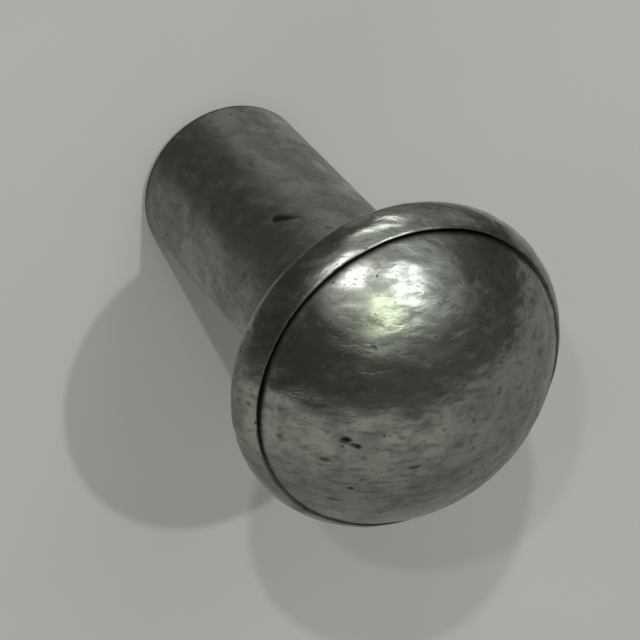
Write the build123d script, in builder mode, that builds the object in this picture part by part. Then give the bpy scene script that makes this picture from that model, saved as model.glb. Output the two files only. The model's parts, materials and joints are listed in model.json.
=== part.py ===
"""Solid rivet: a plain round shank with a cold formed head.

The head is a rounded rim with a low dome on top of it, and a fine crease runs round the foot of
the dome. The whole rivet is one piece of metal.

Sizes are in millimetres. +Z points up the shank's axis towards the head. The origin is the centre
of the flat end of the shank, which is the face the rivet stands on.
"""

from build123d import *
import os

# Shank: the part that passes through the work
shank_diameter = 8.0
shank_length = 17.0
shank_end_chamfer = 0.3
under_head_fillet = 0.3

# Rim: the widest ring of the head, which bears on the work
rim_diameter = 15.0
rim_height = 2.15
rim_widest_height = 0.7
rim_bottom_inset = 0.4
rim_top_inset = 0.45

# Crease: the fine groove between the rim and the dome
crease_width = 0.25
crease_depth = 0.35
crease_floor_width = 0.08

# Dome: a spherical cap that rises from the inner side of the crease
dome_foot_drop = 0.05
dome_height = 3.8

# Sizes that follow from the driving dimensions, measured from the axis
shank_radius = shank_diameter / 2
rim_radius = rim_diameter / 2
bearing_radius = rim_radius - rim_bottom_inset
rim_top_radius = rim_radius - rim_top_inset
dome_foot_radius = rim_top_radius - crease_width
crease_radius = rim_top_radius - crease_width / 2

# Heights in the head, measured up from the bearing face
crease_floor_height = rim_height - crease_depth
dome_foot_height = rim_height - dome_foot_drop
head_height = rim_height + dome_height

# The head's section is drawn on an upright plane whose origin is the centre of the bearing face.
head_plane = Plane(origin=(0, 0, shank_length), x_dir=(1, 0, 0), z_dir=(0, -1, 0))

with BuildPart() as rivet:
    with BuildSketch(Plane.XY):
        Circle(shank_radius)
    extrude(amount=shank_length)

    with BuildSketch(head_plane):
        with BuildLine():
            bearing_edge = (bearing_radius, 0)
            widest = (rim_radius, rim_widest_height)
            rim_top = (rim_top_radius, rim_height)
            crease_outer = (crease_radius + crease_floor_width / 2, crease_floor_height)
            crease_inner = (crease_radius - crease_floor_width / 2, crease_floor_height)
            dome_foot = (dome_foot_radius, dome_foot_height)
            dome_top = (0, head_height)

            Line((0, 0), bearing_edge)
            TangentArc(widest, bearing_edge, tangent=(0, -1))
            TangentArc(widest, rim_top, tangent=(0, 1))
            Polyline(rim_top, crease_outer, crease_inner, dome_foot)
            # The dome's centre is on the axis, so its surface is level at the top.
            TangentArc(dome_top, dome_foot, tangent=(1, 0))
            Line(dome_top, (0, 0))
        make_face()
    revolve(axis=Axis.Z)

    end_face = rivet.faces().sort_by(Axis.Z)[0]
    chamfer(end_face.edges(), shank_end_chamfer)

    bearing_edges = rivet.edges().filter_by_position(Axis.Z, shank_length, shank_length)
    shank_root = bearing_edges.sort_by(SortBy.RADIUS)[0]
    fillet(shank_root, under_head_fillet)

rivet.part.label = "rivet"

os.makedirs("parts", exist_ok=True)
export_step(rivet.part, "parts/rivet.step")
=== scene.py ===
"""The looks of a plain steel solid rivet: its worn surface, the bench it stands on and the light.

Lengths are in metres, in the frame of the CAD model: +Z up the shank towards the head, and the
origin at the centre of the shank's flat end.
"""

import json
import math
import random
from collections import namedtuple

import bpy
import numpy as np
from mathutils import Matrix, Vector, noise


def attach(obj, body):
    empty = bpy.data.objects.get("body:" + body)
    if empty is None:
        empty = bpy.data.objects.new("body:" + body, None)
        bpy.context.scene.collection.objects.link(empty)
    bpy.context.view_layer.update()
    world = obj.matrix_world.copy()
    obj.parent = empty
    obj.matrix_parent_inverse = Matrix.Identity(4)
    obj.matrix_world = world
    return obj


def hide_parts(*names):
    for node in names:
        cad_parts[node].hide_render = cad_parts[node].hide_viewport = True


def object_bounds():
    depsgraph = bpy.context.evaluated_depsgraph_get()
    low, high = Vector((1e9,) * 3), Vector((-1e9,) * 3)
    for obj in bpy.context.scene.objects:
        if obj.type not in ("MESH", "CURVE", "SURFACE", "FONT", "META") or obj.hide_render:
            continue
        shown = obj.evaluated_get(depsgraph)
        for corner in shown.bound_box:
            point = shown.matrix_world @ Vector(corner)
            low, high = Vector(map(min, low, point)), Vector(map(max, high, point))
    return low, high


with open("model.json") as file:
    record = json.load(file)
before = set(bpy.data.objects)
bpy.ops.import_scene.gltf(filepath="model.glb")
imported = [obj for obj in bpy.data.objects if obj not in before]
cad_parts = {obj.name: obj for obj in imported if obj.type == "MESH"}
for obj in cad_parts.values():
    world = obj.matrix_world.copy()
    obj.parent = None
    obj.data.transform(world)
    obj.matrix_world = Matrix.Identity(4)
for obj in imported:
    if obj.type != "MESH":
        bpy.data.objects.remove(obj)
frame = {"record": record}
cad_low, cad_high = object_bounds()

MM = 0.001
MICRON = 1e-6
SEED = 11

# ---------------------------------------------------------------- sizes

MOUNTS = {mount["name"]: mount for mount in frame["record"]["mounts"]}

# Overall sizes, from the frame
SHANK_RADIUS = MOUNTS["shank"]["dims"]["r_mm"] * MM
BEARING_HEIGHT = MOUNTS["bearing_face"]["pos_m"][2]
RIM_RADIUS = frame["record"]["size"]["bbox_m"][0] / 2
TOP_HEIGHT = cad_high.z

# The shank's end and root
END_EDGE = 0.3 * MM
END_EDGE_SOFTNESS = 0.06 * MM
WALL_FOOT = END_EDGE + 0.07 * MM
ROOT_FILLET = 0.3 * MM
WALL_TOP = BEARING_HEIGHT - ROOT_FILLET

# The head
BEARING_RADIUS = RIM_RADIUS - 0.4 * MM
RIM_WIDEST = BEARING_HEIGHT + 0.7 * MM
RIM_TOP = BEARING_HEIGHT + 2.15 * MM
RIM_TOP_RADIUS = RIM_RADIUS - 0.45 * MM
CREASE_WIDTH = 0.25 * MM
CREASE_RADIUS = RIM_TOP_RADIUS - CREASE_WIDTH / 2
LIP_FOOT = RIM_TOP - 0.6 * MM
DOME_FOOT = RIM_TOP - 0.05 * MM
DOME_FOOT_RADIUS = RIM_TOP_RADIUS - CREASE_WIDTH
DOME_RISE = TOP_HEIGHT - DOME_FOOT
DOME_RADIUS = (DOME_FOOT_RADIUS**2 + DOME_RISE**2) / (2 * DOME_RISE)
DOME_CENTRE = TOP_HEIGHT - DOME_RADIUS

# The crease is open on one side of the head and almost pinched shut on the other, where the lip
# of the rim lies lower.
Lip = namedtuple("Lip", "radius top softness")
OPEN_SIDE = math.radians(-100)
OPEN_LIP = Lip(RIM_TOP_RADIUS, RIM_TOP, 0.04 * MM)
OPEN_FOOT = DOME_FOOT_RADIUS + 0.055 * MM
OPEN_DEPTH = 0.30 * MM
PINCHED_LIP = Lip(RIM_TOP_RADIUS - 0.05 * MM, RIM_TOP - 0.25 * MM, 0.02 * MM)
PINCHED_FOOT = DOME_FOOT_RADIUS + 0.14 * MM
PINCHED_DEPTH = 0.05 * MM

# The pinch begins where the cosine of the angle from the open side falls to this, and it is full
# where the cosine is 1 less.
PINCH_BEGINS = 0.80

# The crease wanders in and out as waves round the head: how many, where they start in radians, and
# their height. It is felt this far from the lip, and not below the lip's foot.
WANDER_WAVES = [(2, 0.9, 0.014 * MM), (5, 2.1, 0.010 * MM), (11, 0.0, 0.006 * MM)]
WANDER_REACH = 0.3 * MM

# How far the painted shade reaches from the crease and from the end's edge: colour darkened where shade
# falls in the crease and along the edge
SHADE_ON_DOME = 0.15 * MM
SHADE_ON_RIM = 0.10 * MM
SHADE_ON_WALL = 0.15 * MM

# How strong the painted shade is. The crease's is over 1, so that it is full for some way beside it, and
# where the crease is pinched shut it keeps this share of its strength.
CREASE_SHADE = 1.5
END_SHADE = 0.9
PINCHED_SHARE = 0.3

# The flat ring that the rivet stands on reaches this far in, and the end inside it is hollowed by
# this share of its wear.
STANDING_RING = 1.2 * MM
HOLLOW_SHARE = 0.4

# The angles between which the lip rolls over into the crease, in degrees up from outward
LIP_ROLLS_FROM = 35
LIP_ROLLS_TO = 160

# Points round each turn of the mesh
SEGMENTS = 372

# The way that most of the wear runs across the head and the shank
SMEAR = Vector((-0.73, 0.53, 0.42)).normalized()
SHANK_SMEAR = Vector((-0.61, 0.11, 0.78)).normalized()

# Before any dents, the worn metal lies this far below the clean one on average. It has slow swells
# and ripples, each with the rough distance from rise to rise and its height.
MEAN_WEAR = 0.029 * MM
SWELLS = [(2.6 * MM, 0.010 * MM), (1.1 * MM, 0.0035 * MM)]
RIPPLES = [(0.60 * MM, 0.020 * MM), (0.32 * MM, 0.008 * MM)]

# Ripples are drawn out along the smear, by leaving out this share of the distance that way. They
# are lower on the shank.
RIPPLE_STRETCH = 0.6
RIPPLE_ON_SHANK = 0.35

# How steeply dents, marks and the grime in a mark fade towards their edges. A mark's grime is also
# stretched by its fill and cut by its trim, so that it is full in the middle and gone at the edge.
DENT_FADE = 2.0
MARK_FADE = 1.6
GRIME_FADE = 1.2
GRIME_FILL = 1.8
GRIME_TRIM = 0.35

# Larger pits, stains and scratches, listed one by one. In degrees and millimetres: azimuth, distance
# from the axis, half length, half width, depth. Then how much grime it holds.
DOME_MARKS = [
    (-32, 4.25, 0.33, 0.16, 0.09, 1.0),
    (-28.5, 4.0, 0.20, 0.09, 0.05, 0.8),
    (-27, 3.85, 0.17, 0.12, 0.06, 1.0),
    (-30, 6.35, 0.26, 0.14, 0.03, 0.7),
    (-20, 5.1, 0.36, 0.14, 0.03, 0.7),
    (2, 4.85, 0.18, 0.13, 0.04, 0.9),
    (6, 5.75, 0.26, 0.13, 0.03, 0.7),
    (14, 2.4, 0.46, 0.12, 0.03, 0.7),
    (-137, 3.75, 0.62, 0.06, 0.02, 0.3),
    (-87, 4.6, 0.10, 0.08, 0.03, 0.0),
]

# The same for the shank, with the height in place of the distance from the axis
SHANK_MARKS = [
    (-98.5, 9.9, 0.46, 0.38, 0.03, 1.0),
    (-102, 10.15, 0.60, 0.28, 0.03, 1.0),
    (-106, 10.4, 0.50, 0.16, 0.03, 0.9),
    (-92, 11.0, 0.30, 0.11, 0.03, 0.6),
    (-109, 5.5, 0.24, 0.12, 0.03, 0.5),
    (-72, 6.5, 0.35, 0.14, 0.04, 0.5),
    (-118, 12.2, 0.30, 0.12, 0.03, 0.5),
]


# ---------------------------------------------------------------- section

def straight(start, end, steps):
    """Points from start to end, without the start."""
    shares = [i / steps for i in range(1, steps + 1)]
    return [tuple(a + (b - a) * share for a, b in zip(start, end)) for share in shares]


def arc(centre, radius, from_angle, to_angle, steps):
    """Points of an arc in the section, in degrees up from the outward direction."""
    points = []
    for i in range(1, steps + 1):
        angle = math.radians(from_angle + (to_angle - from_angle) * i / steps)
        points.append((centre[0] + radius * math.cos(angle), centre[1] + radius * math.sin(angle)))
    return points


def upright_arc(widest, end, steps):
    """Points of the arc that stands upright at widest and goes to end, without widest."""
    inset, rise = widest[0] - end[0], end[1] - widest[1]
    radius = (inset**2 + rise**2) / (2 * inset)
    turn = math.degrees(math.atan2(abs(rise), radius - inset))
    return arc((widest[0] - radius, widest[1]), radius, 0, math.copysign(turn, rise), steps)


def on_dome(radius):
    """The dome's height at a distance from the axis."""
    return DOME_CENTRE + math.sqrt(DOME_RADIUS**2 - radius**2)


def section(lip, foot_radius, crease_depth):
    """The outline from the middle of the end to the top of the dome, as (point, finish)."""
    outline = [((0, 0), "sheared")]

    def add(points, finish):
        outline.extend((point, finish) for point in points)

    # The shank: its flat end, the chamfered edge, the wall and the fillet at its root
    end_rim = (SHANK_RADIUS - END_EDGE, 0)
    edge_top = (SHANK_RADIUS - END_EDGE_SOFTNESS, END_EDGE - END_EDGE_SOFTNESS)
    add(straight((0, 0), end_rim, steps=12), "sheared")
    add(straight(end_rim, edge_top, steps=2), "drawn")
    add([(SHANK_RADIUS - END_EDGE_SOFTNESS / 4, END_EDGE), (SHANK_RADIUS, WALL_FOOT)], "drawn")
    add(straight((SHANK_RADIUS, WALL_FOOT), (SHANK_RADIUS, WALL_TOP), steps=100), "drawn")
    fillet = arc((SHANK_RADIUS + ROOT_FILLET, WALL_TOP), ROOT_FILLET, 180, 90, steps=5)
    add(fillet, "drawn")

    # The bearing face, and the rim from its lower edge over its widest point to the lip
    bearing_edge = (BEARING_RADIUS, BEARING_HEIGHT)
    widest = (RIM_RADIUS, RIM_WIDEST)
    add(straight(fillet[-1], bearing_edge, steps=8), "pressed")
    below = [widest] + upright_arc(widest, bearing_edge, steps=7)[:-1]
    add(reversed(below), "pressed")
    add(upright_arc(widest, (lip.radius, lip.top), steps=20)[:-1], "pressed")
    lip_middle = (lip.radius - lip.softness, lip.top - lip.softness)
    add(arc(lip_middle, lip.softness, LIP_ROLLS_FROM, LIP_ROLLS_TO, steps=4), "pressed")

    # The crease, and the dome that rises from its far side
    lip_edge = outline[-1][0]
    foot = (foot_radius, on_dome(foot_radius))
    crease_floor = ((foot_radius + lip_edge[0]) / 2, lip.top - crease_depth)
    foot_angle = math.degrees(math.acos(foot_radius / DOME_RADIUS))
    add(straight(lip_edge, crease_floor, steps=5), "pressed")
    add(straight(crease_floor, foot, steps=5), "pressed")
    add(arc((0, DOME_CENTRE), DOME_RADIUS, foot_angle, 90, steps=92), "pressed")
    return outline


# ---------------------------------------------------------------- turned mesh

def pinching(angles):
    """How far the crease is pinched shut at each azimuth, from 0 to 1."""
    share = np.clip(PINCH_BEGINS - np.cos(angles - OPEN_SIDE), 0, 1)
    return share**2 * (3 - 2 * share)


def wander(angles):
    """How far the crease wanders out at each azimuth, because the metal folds unevenly."""
    return sum(np.sin(waves * angles + start) * height for waves, start, height in WANDER_WAVES)


def crease_and_end_shade(radius, height, pinch):
    """How much painted shade one turn of the mesh gets at each azimuth: colour darkened in the crease and
    along the end's edge, where shade falls.
    """
    reach = SHADE_ON_DOME if radius < CREASE_RADIUS else SHADE_ON_RIM
    shade_in_crease = min(CREASE_SHADE * math.exp(-(((radius - CREASE_RADIUS) / reach) ** 2)), 1)
    shade_at_end = END_SHADE * math.exp(-(((height - END_EDGE) / SHADE_ON_WALL) ** 2))
    if height <= LIP_FOOT:
        shade_in_crease = 0
    return np.maximum(shade_in_crease * (1 + (PINCHED_SHARE - 1) * pinch), shade_at_end)


def turned_points(opened, pinched):
    """Turns the section round Z. Gives the mesh's points and how much painted shade each gets in the
    crease and along the end's edge.
    """
    angles = np.arange(SEGMENTS) * 2 * math.pi / SEGMENTS
    pinch = pinching(angles)
    points = [(0, 0, opened[0][0][1])]
    grime = [0]
    for ((radius, height), _), ((pinched_radius, pinched_height), _) in zip(opened[1:-1], pinched[1:-1]):
        near_crease = math.exp(-(((radius - RIM_TOP_RADIUS) / WANDER_REACH) ** 2))
        if height <= LIP_FOOT:
            near_crease = 0
        across = radius + (pinched_radius - radius) * pinch + wander(angles) * near_crease
        up = height + (pinched_height - height) * pinch
        points.extend(zip(across * np.cos(angles), across * np.sin(angles), up))
        grime.extend(crease_and_end_shade(radius, height, pinch))
    points.append((0, 0, opened[-1][0][1]))
    grime.append(0)
    return np.array(points), np.array(grime)


def turned_faces(ring_finishes):
    """The faces from the end's middle over every ring to the dome's top, and their finishes."""
    faces, finish_of = [], []
    last_ring = 1 + (len(ring_finishes) - 1) * SEGMENTS
    top = last_ring + SEGMENTS
    for i in range(SEGMENTS):
        j = (i + 1) % SEGMENTS
        faces.append((0, 1 + j, 1 + i))
        finish_of.append(ring_finishes[0])
        for k, finish in enumerate(ring_finishes[1:]):
            lower = 1 + k * SEGMENTS
            upper = lower + SEGMENTS
            faces.append((lower + i, lower + j, upper + j, upper + i))
            finish_of.append(finish)
        faces.append((last_ring + i, last_ring + j, top))
        finish_of.append(ring_finishes[-1])
    return faces, finish_of


# ---------------------------------------------------------------- wear in the metal

Dent = namedtuple("Dent", "spot half_width depth")
Mark = namedtuple("Mark", "spot run half_length half_width depth grime")


def dome_spot(azimuth, across):
    """The point of the dome at an azimuth in degrees and a distance from the axis."""
    angle = math.radians(azimuth)
    return Vector((across * math.cos(angle), across * math.sin(angle), on_dome(across)))


def shank_spot(azimuth, height):
    """The point of the shank's wall at an azimuth in degrees and a height."""
    angle = math.radians(azimuth)
    return Vector((SHANK_RADIUS * math.cos(angle), SHANK_RADIUS * math.sin(angle), height))


def any_dome_spot():
    """A random point of the dome, as likely in one place as in another, just short of the crease."""
    across = DOME_FOOT_RADIUS * 0.97 * math.sqrt(random.random())
    return dome_spot(random.uniform(0, 360), across)


def any_rim_spot():
    """A random point at the outside of the rim, from a little under its widest point to its top."""
    angle = random.uniform(0, 2 * math.pi)
    height = random.uniform(RIM_WIDEST - 0.2 * MM, RIM_TOP)
    return Vector((RIM_RADIUS * math.cos(angle), RIM_RADIUS * math.sin(angle), height))


def any_shank_spot():
    """A random point of the shank's wall, at least a millimetre from its end and from the head."""
    return shank_spot(random.uniform(0, 360), random.uniform(1 * MM, BEARING_HEIGHT - 1 * MM))


def dents(pick_spot, count, smallest, largest, deepest):
    """Random shallow dents, with more small ones than large. The larger ones are deeper."""
    found = []
    for _ in range(count):
        half_width = smallest + (largest - smallest) * random.random() ** 2.5
        depth = deepest * random.uniform(0.35, 1.0) * half_width / largest
        found.append(Dent(pick_spot(), half_width, depth))
    return found


def hand_marks():
    """The listed marks, with their sizes in metres."""
    marks = []
    for azimuth, across, *sizes, grime in DOME_MARKS:
        marks.append(Mark(dome_spot(azimuth, across * MM), SMEAR, *(s * MM for s in sizes), grime))
    for azimuth, height, *sizes, grime in SHANK_MARKS:
        marks.append(Mark(shank_spot(azimuth, height * MM), SHANK_SMEAR, *(s * MM for s in sizes), grime))
    return marks


def unevenness(place):
    """How deep the worn metal lies at a place, before any dents."""
    drawn_out = place - SMEAR * place.dot(SMEAR) * RIPPLE_STRETCH
    swell = sum(noise.noise(place / apart) * height for apart, height in SWELLS)
    ripple = sum(noise.noise(drawn_out / apart) * height for apart, height in RIPPLES)
    if place.z < WALL_TOP:
        ripple *= RIPPLE_ON_SHANK
    return MEAN_WEAR + swell + ripple


def wear(points):
    """How deep the worn surface lies below the clean one, and how much grime its marks hold."""
    depth = np.array([unevenness(Vector(point)) for point in points])
    spread_dents = dents(any_dome_spot, 150, smallest=0.18 * MM, largest=0.75 * MM, deepest=0.018 * MM)
    spread_dents += dents(any_rim_spot, 90, smallest=0.15 * MM, largest=0.6 * MM, deepest=0.022 * MM)
    spread_dents += dents(any_shank_spot, 130, smallest=0.15 * MM, largest=0.7 * MM, deepest=0.02 * MM)
    for dent in spread_dents:
        away = np.linalg.norm(points - np.array(dent.spot), axis=1)
        depth += dent.depth * np.exp(-DENT_FADE * (away / dent.half_width) ** 2)
    grime = np.zeros(len(points))
    for mark in hand_marks():
        offset = points - np.array(mark.spot)
        along = offset @ np.array(mark.run)
        aside = np.sqrt(np.maximum((offset**2).sum(axis=1) - along**2, 0))
        reach = (along / mark.half_length) ** 2 + (aside / mark.half_width) ** 2
        depth += mark.depth * np.exp(-MARK_FADE * reach)
        filled = np.clip(GRIME_FILL * np.exp(-GRIME_FADE * reach) - GRIME_TRIM, 0, 1)
        grime = np.maximum(grime, mark.grime * filled)
    return depth, grime


def vertex_normals(mesh):
    """The mesh's normals at its points, as rows."""
    normals = np.zeros(len(mesh.vertices) * 3)
    mesh.vertex_normals.foreach_get("vector", normals)
    return normals.reshape(-1, 3)


def keep_end_flat(clean, worn):
    """Leaves a flat ring for the rivet to stand on, with a little hollow inside it."""
    on_end = clean[:, 2] < MICRON
    standing = on_end & (np.hypot(clean[:, 0], clean[:, 1]) > SHANK_RADIUS - STANDING_RING)
    worn[on_end, 2] = np.abs(worn[on_end, 2]) * HOLLOW_SHARE
    worn[standing, 2] = 0


def build_rivet():
    """The whole rivet as one closed mesh. Gives it and the names of its finishes, in order."""
    opened = section(OPEN_LIP, OPEN_FOOT, OPEN_DEPTH)
    pinched = section(PINCHED_LIP, PINCHED_FOOT, PINCHED_DEPTH)
    points, painted_shade = turned_points(opened, pinched)
    faces, finish_of = turned_faces([finish for _, finish in opened[1:-1]])
    finish_names = sorted(set(finish_of))

    mesh = bpy.data.meshes.new("rivet_metal")
    mesh.from_pydata(points.tolist(), [], faces)
    mesh.update()
    depth, grime = wear(points)
    worn = points - vertex_normals(mesh) * depth[:, None]
    keep_end_flat(points, worn)
    mesh.vertices.foreach_set("co", worn.ravel())
    # Joins the grime in the marks with the painted shade in the crease and along the end's edge.
    grime = np.maximum(grime, painted_shade)
    mesh.attributes.new("grime", "FLOAT", "POINT").data.foreach_set("value", grime)
    mesh.polygons.foreach_set("use_smooth", [True] * len(faces))
    mesh.polygons.foreach_set("material_index", [finish_names.index(finish) for finish in finish_of])
    mesh.update()

    rivet = bpy.data.objects.new("rivet_metal", mesh)
    bpy.context.scene.collection.objects.link(rivet)
    return rivet, finish_names


# ---------------------------------------------------------------- node helpers

def put(tree, kind, inputs=None, **settings):
    """Adds a shader node, sets its properties, and links or sets its inputs."""
    node = tree.nodes.new("ShaderNode" + kind)
    for name, value in settings.items():
        setattr(node, name, value)
    for name, value in (inputs or {}).items():
        feed(tree, node.inputs[name], value)
    return node


def feed(tree, socket, value):
    """Links a socket to another one, or sets its value."""
    if isinstance(value, bpy.types.NodeSocket):
        tree.links.new(value, socket)
    else:
        socket.default_value = value


def work_out(tree, operation, first, second=0.0, third=0.0, clamp=False):
    """The result of one Math node."""
    node = put(tree, "Math", {0: first, 1: second, 2: third}, operation=operation, use_clamp=clamp)
    return node.outputs[0]


def vectors(tree, operation, inputs, output=0):
    """The result of one Vector Math node."""
    return put(tree, "VectorMath", inputs, operation=operation).outputs[output]


def ramp(tree, value, low, high, to_low=0.0, to_high=1.0):
    """A value taken smoothly from one range to another."""
    inputs = {"Value": value, "From Min": low, "From Max": high, "To Min": to_low, "To Max": to_high}
    return put(tree, "MapRange", inputs, interpolation_type="SMOOTHSTEP").outputs["Result"]


def blend(tree, share, first, second):
    """Two colours mixed by a share of the second."""
    node = put(tree, "Mix", data_type="RGBA", blend_type="MIX")
    sockets = {socket.identifier: socket for socket in node.inputs}
    feed(tree, sockets["Factor_Float"], share)
    feed(tree, sockets["A_Color"], first)
    feed(tree, sockets["B_Color"], second)
    return next(socket for socket in node.outputs if socket.identifier == "Result_Color")


def wavering(tree, place, closeness, detail, reach):
    """A place that noise shifts about, so that what is drawn from it isn't too regular."""
    cloud = put(tree, "TexNoise", {"Vector": place, "Scale": closeness, "Detail": detail})
    centred = vectors(tree, "SUBTRACT", {0: cloud.outputs["Color"], 1: (0.5, 0.5, 0.5)})
    shift = vectors(tree, "SCALE", {0: centred, "Scale": reach})
    return vectors(tree, "ADD", {0: place, 1: shift})


def start_group(name, values):
    """A node group with a Place, named values with their defaults, and a Mask to put out."""
    group = bpy.data.node_groups.new(name, "ShaderNodeTree")
    group.interface.new_socket("Place", in_out="INPUT", socket_type="NodeSocketVector")
    for label, value in values.items():
        kind = "NodeSocketFloat" if isinstance(value, float) else "NodeSocketVector"
        group.interface.new_socket(label, in_out="INPUT", socket_type=kind).default_value = value
    group.interface.new_socket("Mask", in_out="OUTPUT", socket_type="NodeSocketFloat")
    entry = group.nodes.new("NodeGroupInput")
    leave = group.nodes.new("NodeGroupOutput")
    return group, entry.outputs, leave.inputs


def use_group(tree, group, inputs):
    """Places a node group and gives its mask."""
    node = put(tree, "Group", node_tree=group)
    for name, value in inputs.items():
        feed(tree, node.inputs[name], value)
    return node.outputs["Mask"]


# ---------------------------------------------------------------- wear, as node groups

def streaks_group():
    """Fine wavy scratches drawn out along the way that they run. A larger share starts them lower
    in the noise, so that they cover more."""
    values = {"Run": (0, 0, 1), "Fineness": 20000.0, "Length": 12.0, "Share": 0.3}
    tree, given, result = start_group("fine_streaks", values)
    bent = wavering(tree, given["Place"], closeness=1400.0, detail=1.0, reach=0.5 * MM)
    along = vectors(tree, "DOT_PRODUCT", {0: bent, 1: given["Run"]}, "Value")
    short = work_out(tree, "SUBTRACT", work_out(tree, "DIVIDE", along, given["Length"]), along)
    shift = vectors(tree, "SCALE", {0: given["Run"], "Scale": short})
    drawn_out = vectors(tree, "ADD", {0: bent, 1: shift})
    inputs = {"Vector": drawn_out, "Scale": given["Fineness"], "Detail": 2.0, "Roughness": 0.6}
    lines = put(tree, "TexNoise", inputs).outputs["Fac"]
    begins = work_out(tree, "SUBTRACT", 0.72, work_out(tree, "MULTIPLY", given["Share"], 0.35))
    full = work_out(tree, "ADD", begins, 0.20)
    feed(tree, result["Mask"], ramp(tree, lines, begins, full))
    return tree


def pits_group():
    """Scattered small pits: a mask that is 1 inside a pit, with sizes that differ."""
    tree, given, result = start_group("small_pits", {"Closeness": 3000.0, "Size": 0.3, "Share": 0.3})
    bent = wavering(tree, given["Place"], closeness=9000.0, detail=2.0, reach=0.12 * MM)
    cells = put(tree, "TexVoronoi", {"Vector": bent, "Scale": given["Closeness"]})
    lot = put(tree, "SeparateColor", {0: cells.outputs["Color"]}).outputs
    kept = work_out(tree, "LESS_THAN", lot[0], given["Share"])
    radius = work_out(tree, "MULTIPLY", given["Size"], ramp(tree, lot[1], 0.0, 1.0, 0.45, 1.0))
    out = work_out(tree, "DIVIDE", cells.outputs["Distance"], radius)
    inside = ramp(tree, work_out(tree, "SUBTRACT", 1.0, out), 0.0, 0.55)
    feed(tree, result["Mask"], work_out(tree, "MULTIPLY", inside, kept))
    return tree


def patches_group():
    """Uneven patches of dull tarnish with soft edges and finer mottling inside them. A larger share
    starts them lower in the noise, so that they cover more."""
    values = {"Size": 700.0, "Share": 0.5, "Softness": 0.12}
    tree, given, result = start_group("tarnish_patches", values)
    inputs = {"Vector": given["Place"], "Scale": given["Size"], "Detail": 6.0, "Roughness": 0.62}
    broad = put(tree, "TexNoise", {**inputs, "Distortion": 0.4}).outputs["Fac"]
    middle = work_out(tree, "SUBTRACT", 0.66, work_out(tree, "MULTIPLY", given["Share"], 0.32))
    low = work_out(tree, "SUBTRACT", middle, given["Softness"])
    high = work_out(tree, "ADD", middle, given["Softness"])
    feed(tree, result["Mask"], ramp(tree, broad, low, high))
    return tree


# ---------------------------------------------------------------- metals

BRIGHT_STEEL = (0.43, 0.44, 0.42, 1)
DULL_STEEL = (0.29, 0.30, 0.285, 1)
STAIN = (0.15, 0.157, 0.14, 1)
# The dark colour of grime in pits and marks, also used as painted shade in the crease and along the end's
# edge
GRIME_AND_SHADE = (0.035, 0.036, 0.032, 1)

# The ways that streaks run
ACROSS = tuple(SMEAR)
SHANK_ACROSS = tuple(SHANK_SMEAR)
SLANTED = (0.37, 0.74, 0.56)
STEEP = (0.83, 0.14, -0.54)
UPRIGHT = (0.0, 0.0, 1.0)
SHEAR_WAY = (0.94, 0.34, 0.0)

# The closeness of the noise, in each metre, that varies the gloss and that makes the finest grain
GLOSS_CLOSENESS = 260.0
GRAIN_CLOSENESS = 16000.0

# What is added to the roughness: from place to place, in a streak, in a pit, and in full grime or full
# painted shade
LEAST_UNEVENNESS = -0.035
MOST_UNEVENNESS = 0.045
STREAK_ROUGHNESS = 0.05
PIT_ROUGHNESS = 0.25
GRIME_AND_SHADE_ROUGHNESS = 0.35

# A set of streaks: its way, its closeness in each metre, how long a streak is against its width,
# the share of the surface it covers, its depth, and its tint with that tint's strength.
Streaks = namedtuple("Streaks", "run fineness length share depth tint strength")

# A set of pits: closeness in each metre, size against the gap between them, share of the places
# that hold one, depth, and how dark the grime in them is.
Pits = namedtuple("Pits", "closeness size share depth darkness")


def new_material(name):
    """An empty material with a Principled shader on its output."""
    material = bpy.data.materials.new(name)
    material.use_nodes = True
    tree = material.node_tree
    tree.nodes.clear()
    shader = put(tree, "BsdfPrincipled")
    put(tree, "OutputMaterial", {"Surface": shader.outputs[0]})
    return material, tree, shader


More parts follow.
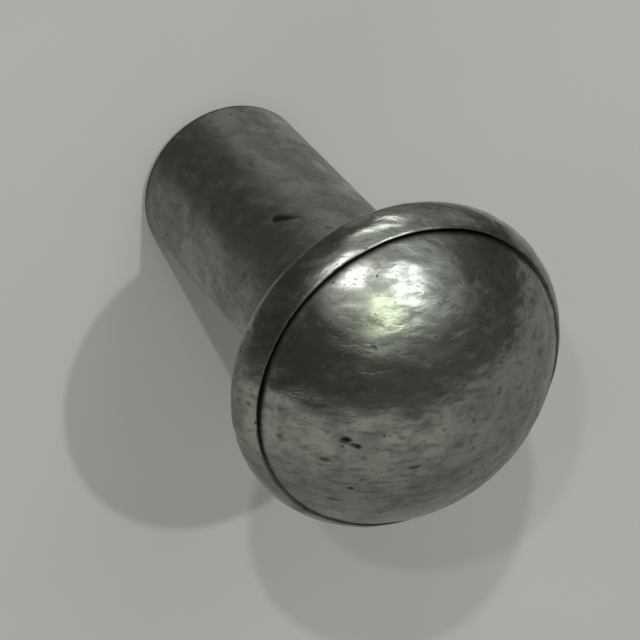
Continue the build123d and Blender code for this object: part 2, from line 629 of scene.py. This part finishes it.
def metal(name, groups, gloss, matt, streak_sets, pit_sets, tarnish, tarnish_height, grain_height):
    """A worn steel finish, whose roughness goes from gloss to matt under the tarnish."""
    material, tree, shader = new_material(name)
    shader.inputs["Metallic"].default_value = 1.0
    place = put(tree, "TexCoord").outputs["Object"]
    streaks, pits, patches = groups

    mask = use_group(tree, patches, {"Place": place, **tarnish})
    colour = blend(tree, mask, BRIGHT_STEEL, DULL_STEEL)
    height = work_out(tree, "MULTIPLY", mask, tarnish_height)
    inputs = {"Vector": place, "Scale": GLOSS_CLOSENESS, "Detail": 3.0}
    cloud = put(tree, "TexNoise", inputs).outputs["Fac"]
    uneven = ramp(tree, cloud, 0.3, 0.7, LEAST_UNEVENNESS, MOST_UNEVENNESS)
    rough = work_out(tree, "ADD", ramp(tree, mask, 0.0, 1.0, gloss, matt), uneven)

    for streak in streak_sets:
        inputs = {"Run": streak.run, "Fineness": streak.fineness, "Length": streak.length}
        mask = use_group(tree, streaks, {"Place": place, "Share": streak.share, **inputs})
        colour = blend(tree, work_out(tree, "MULTIPLY", mask, streak.strength), colour, streak.tint)
        height = work_out(tree, "MULTIPLY_ADD", mask, -streak.depth, height)
        rough = work_out(tree, "MULTIPLY_ADD", mask, STREAK_ROUGHNESS, rough)

    for pit in pit_sets:
        inputs = {"Closeness": pit.closeness, "Size": pit.size, "Share": pit.share}
        mask = use_group(tree, pits, {"Place": place, **inputs})
        colour = blend(tree, work_out(tree, "MULTIPLY", mask, pit.darkness), colour, GRIME_AND_SHADE)
        height = work_out(tree, "MULTIPLY_ADD", mask, -pit.depth, height)
        rough = work_out(tree, "MULTIPLY_ADD", mask, PIT_ROUGHNESS, rough)

    # This attribute darkens the colour: real grime in the marks, and painted shade in the crease and
    # along the end's edge.
    grime = put(tree, "Attribute", attribute_name="grime").outputs["Fac"]
    inputs = {"Vector": place, "Scale": GRAIN_CLOSENESS, "Detail": 3.0}
    grain = put(tree, "TexNoise", inputs).outputs["Fac"]
    colour = blend(tree, grime, colour, GRIME_AND_SHADE)
    height = work_out(tree, "MULTIPLY_ADD", grain, grain_height, height)
    rough = work_out(tree, "MULTIPLY_ADD", grime, GRIME_AND_SHADE_ROUGHNESS, rough)
    rough = work_out(tree, "ADD", rough, 0.0, clamp=True)

    relief = put(tree, "Bump", {"Height": height, "Distance": 1.0, "Strength": 1.0})
    feed(tree, shader.inputs["Base Color"], colour)
    feed(tree, shader.inputs["Roughness"], rough)
    feed(tree, shader.inputs["Normal"], relief.outputs[0])
    return material


def pressed_steel(groups):
    """The head: glossy from tumbling, with streaks across it and small pits."""
    return metal(
        "tumbled_steel", groups, gloss=0.19, matt=0.27,
        streak_sets=[
            Streaks(ACROSS, 9000.0, 7.0, 0.45, 0.5 * MICRON, STAIN, 0.35),
            Streaks(ACROSS, 3400.0, 4.0, 0.66, 1.5 * MICRON, STAIN, 0.55),
            Streaks(ACROSS, 2400.0, 3.5, 0.62, 4.0 * MICRON, BRIGHT_STEEL, 0.6),
            Streaks(SLANTED, 9000.0, 14.0, 0.12, 0.8 * MICRON, BRIGHT_STEEL, 0.4),
            Streaks(STEEP, 8000.0, 16.0, 0.08, 0.8 * MICRON, BRIGHT_STEEL, 0.4),
        ],
        pit_sets=[
            Pits(2600.0, 0.30, 0.16, 3.0 * MICRON, 0.55),
            Pits(6000.0, 0.34, 0.18, 0.8 * MICRON, 0.35),
        ],
        tarnish={"Size": 620.0, "Share": 0.5, "Softness": 0.13},
        tarnish_height=1.0 * MICRON, grain_height=0.5 * MICRON,
    )


def drawn_steel(groups):
    """The shank: duller than the head, with fine lines up it from the wire's drawing."""
    return metal(
        "drawn_steel", groups, gloss=0.29, matt=0.38,
        streak_sets=[
            Streaks(UPRIGHT, 9000.0, 20.0, 0.5, 0.8 * MICRON, DULL_STEEL, 0.5),
            Streaks(SHANK_ACROSS, 2600.0, 2.5, 0.60, 1.2 * MICRON, STAIN, 0.45),
            Streaks(SHANK_ACROSS, 1700.0, 2.0, 0.62, 3.0 * MICRON, BRIGHT_STEEL, 0.7),
            Streaks(SLANTED, 8000.0, 10.0, 0.12, 1.0 * MICRON, BRIGHT_STEEL, 0.4),
        ],
        pit_sets=[
            Pits(2200.0, 0.30, 0.20, 3.0 * MICRON, 0.45),
            Pits(6000.0, 0.36, 0.20, 0.6 * MICRON, 0.30),
        ],
        tarnish={"Size": 520.0, "Share": 0.6, "Softness": 0.12},
        tarnish_height=1.5 * MICRON, grain_height=0.3 * MICRON,
    )


def sheared_steel(groups):
    """The flat end, where the wire was cut off: matt, with coarse lines one way."""
    return metal(
        "sheared_steel", groups, gloss=0.38, matt=0.55,
        streak_sets=[
            Streaks(SHEAR_WAY, 6000.0, 14.0, 0.7, 5.0 * MICRON, STAIN, 0.35),
            Streaks(SLANTED, 9000.0, 10.0, 0.15, 2.5 * MICRON, BRIGHT_STEEL, 0.3),
        ],
        pit_sets=[Pits(2400.0, 0.34, 0.4, 8.0 * MICRON, 0.5)],
        tarnish={"Size": 500.0, "Share": 0.7, "Softness": 0.12},
        tarnish_height=4.0 * MICRON, grain_height=4.0 * MICRON,
    )


def make_finishes():
    """The material of each finish that the section names."""
    groups = (streaks_group(), pits_group(), patches_group())
    return {
        "pressed": pressed_steel(groups),
        "drawn": drawn_steel(groups),
        "sheared": sheared_steel(groups),
    }


# ---------------------------------------------------------------- bench

BENCH_COLOUR = (0.388, 0.402, 0.369, 1)
BENCH_UNEVENNESS = 0.03
BENCH_RADIUS = 3.0
BENCH_SIDES = 96


def bench_paint():
    """Plain matt paint, with a faint unevenness."""
    material, tree, shader = new_material("bench_paint")
    place = put(tree, "TexCoord").outputs["Object"]
    cloud = put(tree, "TexNoise", {"Vector": place, "Scale": 45.0, "Detail": 3.0}).outputs["Fac"]
    paler = tuple(part * (1 + BENCH_UNEVENNESS) for part in BENCH_COLOUR[:3]) + (1,)
    darker = tuple(part * (1 - BENCH_UNEVENNESS) for part in BENCH_COLOUR[:3]) + (1,)
    feed(tree, shader.inputs["Base Color"], blend(tree, ramp(tree, cloud, 0.3, 0.7), darker, paler))
    shader.inputs["Roughness"].default_value = 0.7
    shader.inputs["Specular IOR Level"].default_value = 0.2
    return material


def make_bench():
    """A wide plain bench top under the rivet, which the metal doesn't mirror."""
    angles = [2 * math.pi * i / BENCH_SIDES for i in range(BENCH_SIDES)]
    corners = [(BENCH_RADIUS * math.cos(a), BENCH_RADIUS * math.sin(a), 0) for a in angles]
    mesh = bpy.data.meshes.new("bench_top")
    mesh.from_pydata(corners, [], [range(BENCH_SIDES)])
    mesh.materials.append(bench_paint())
    bench = bpy.data.objects.new("bench_top", mesh)
    bpy.context.scene.collection.objects.link(bench)
    bench.visible_glossy = False


# ---------------------------------------------------------------- light

# The room that the metal mirrors has dark walls on the lamps' side and a pale card on the other.
LAMP_SIDE = tuple(Vector((-0.49, -0.85, 0.2)).normalized())
DARK_WALL = (0.048, 0.050, 0.039, 1)
LIT_WALL = (0.090, 0.095, 0.078, 1)
FRONT_WALL = (0.073, 0.076, 0.062, 1)
DIM_CARD = (0.26, 0.275, 0.24, 1)
PALE_CARD = (0.40, 0.42, 0.367, 1)
FAR_CARD = (0.245, 0.259, 0.225, 1)

# The ways in which the wall and the card are at their palest, and the front wall's
LIT_WALL_WAY = (-0.6, 0.0, 0.8)
FRONT_WALL_WAY = (0.0, -0.72, -0.69)
PALE_CARD_WAY = (0.75, 0.0, 0.66)

# The even light that falls on everything, and that the metal doesn't mirror
EVEN_LIGHT = (0.335, 0.335, 0.335, 1)

# Pale things in that room: the direction to the thing's middle, how far off that direction it
# begins and is full (as cosines), and its colour
PALE_THINGS = [
    ((-0.56, -0.26, -0.785), 0.93, 0.985, (0.275, 0.289, 0.254, 1)),
    ((-0.44, 0.44, -0.783), 0.91, 0.97, (0.40, 0.418, 0.37, 1)),
    ((-0.90, -0.18, -0.40), 0.90, 0.98, (0.33, 0.345, 0.305, 1)),
    ((-0.66, -0.69, -0.32), 0.975, 0.994, (2.5, 2.6, 2.4, 1)),
    ((-0.555, -0.713, 0.475), 0.62, 0.95, (0.46, 0.49, 0.44, 1)),
]


def mirrored_room(tree):
    """The colour that the metal mirrors in each direction."""
    way = put(tree, "TexCoord").outputs["Generated"]

    def toward(direction):
        return vectors(tree, "DOT_PRODUCT", {0: way, 1: direction}, "Value")

    rise = toward(LAMP_SIDE)
    wall = blend(tree, ramp(tree, toward(LIT_WALL_WAY), -0.1, 0.95), DARK_WALL, LIT_WALL)
    wall = blend(tree, ramp(tree, toward(FRONT_WALL_WAY), 0.45, 0.9), wall, FRONT_WALL)
    card = blend(tree, ramp(tree, toward(PALE_CARD_WAY), 0.0, 0.9), DIM_CARD, PALE_CARD)
    card = blend(tree, ramp(tree, rise, -0.85, -0.55), FAR_CARD, card)
    room = blend(tree, ramp(tree, rise, -0.15, -0.07, 1.0, 0.0), wall, card)
    for direction, begins, full, colour in PALE_THINGS:
        room = blend(tree, ramp(tree, toward(direction), begins, full), room, colour)
    return room


def make_surroundings():
    """A world that shows the room to the metal, the bench's colour to the camera and even light."""
    world = bpy.data.worlds.new("room")
    bpy.context.scene.world = world
    world.use_nodes = True
    tree = world.node_tree
    tree.nodes.clear()
    path = put(tree, "LightPath").outputs
    mirrored = put(tree, "Background", {"Color": mirrored_room(tree)}).outputs[0]
    even = put(tree, "Background", {"Color": EVEN_LIGHT}).outputs[0]
    behind = put(tree, "Background", {"Color": BENCH_COLOUR}).outputs[0]
    seen = put(tree, "MixShader", {0: path["Is Glossy Ray"], 1: even, 2: mirrored}).outputs[0]
    seen = put(tree, "MixShader", {0: path["Is Camera Ray"], 1: seen, 2: behind}).outputs[0]
    put(tree, "OutputWorld", {"Surface": seen})


def lamp(name, towards, across, level, colour, distance=0.6, in_metal=True):
    """A round soft lamp aimed at the head. Level 1 lights a white card that faces it to full white."""
    direction = Vector(towards).normalized()
    data = bpy.data.lights.new(name, "AREA")
    data.shape = "DISK"
    data.size = across
    data.color = colour
    data.energy = level * math.pi**2 * distance**2
    holder = bpy.data.objects.new(name, data)
    holder.location = Vector((0, 0, BEARING_HEIGHT)) + direction * distance
    holder.rotation_mode = "QUATERNION"
    holder.rotation_quaternion = direction.to_track_quat("Z", "Y")
    holder.visible_glossy = in_metal
    bpy.context.scene.collection.objects.link(holder)


def make_lamps():
    """Four soft lamps that the metal mirrors, and three far ones that only light the bench."""
    lamp("lamp_left", (-0.27, -0.92, 0.29), 0.17, 0.125, (1.0, 0.99, 0.97))
    lamp("lamp_right", (-0.62, -0.56, 0.55), 0.26, 0.18, (0.97, 1.0, 0.98))
    lamp("lamp_middle", (-0.30, -0.67, 0.68), 0.22, 0.073, (0.88, 1.0, 0.66))
    lamp("lamp_dot", (0.055, -0.527, 0.848), 0.10, 0.004, (0.95, 1.0, 0.80))
    far = {"across": 0.07, "colour": (1.0, 0.975, 1.0), "distance": 3.0, "in_metal": False}
    lamp("bench_light_right", (-0.16, -0.75, 0.64), level=0.29, **far)
    lamp("bench_light_front", (-0.01, -0.74, 0.67), level=0.16, **far)
    lamp("bench_light_left", (-0.32, -0.39, 0.86), level=0.29, **far)


# ---------------------------------------------------------------- camera

VIEW_TILT = math.radians(38.5)
VIEW_ROLL = math.radians(137)
VIEW_DISTANCE = 166.8 * MM
VIEW_AIM = Vector((1.04 * MM, -2.43 * MM, BEARING_HEIGHT - 1.93 * MM))
VIEW_LENS = 225.0
SENSOR_WIDTH = 36.0


def make_camera():
    """Looks down on the dome from in front, rolled so that the head is at the lower right."""
    back = Vector((0, -math.sin(VIEW_TILT), math.cos(VIEW_TILT)))
    level = Vector((1, 0, 0))
    raised = back.cross(level)
    right = level * math.cos(VIEW_ROLL) + raised * math.sin(VIEW_ROLL)
    up = raised * math.cos(VIEW_ROLL) - level * math.sin(VIEW_ROLL)
    data = bpy.data.cameras.new("camera")
    data.sensor_width = SENSOR_WIDTH
    data.lens = VIEW_LENS
    data.clip_start = 5 * MM
    data.clip_end = 20.0
    camera = bpy.data.objects.new("camera", data)
    turn = Matrix((right, up, back)).transposed()
    camera.matrix_world = Matrix.Translation(VIEW_AIM + back * VIEW_DISTANCE) @ turn.to_4x4()
    bpy.context.scene.collection.objects.link(camera)
    bpy.context.scene.camera = camera


# ---------------------------------------------------------------- making

random.seed(SEED)
noise.seed_set(SEED)
make_camera()
rivet, finish_names = build_rivet()
finishes = make_finishes()
for finish in finish_names:
    rivet.data.materials.append(finishes[finish])
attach(rivet, "root")
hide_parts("rivet")
make_bench()
make_surroundings()
make_lamps()
bpy.context.scene.view_settings.view_transform = "Standard"
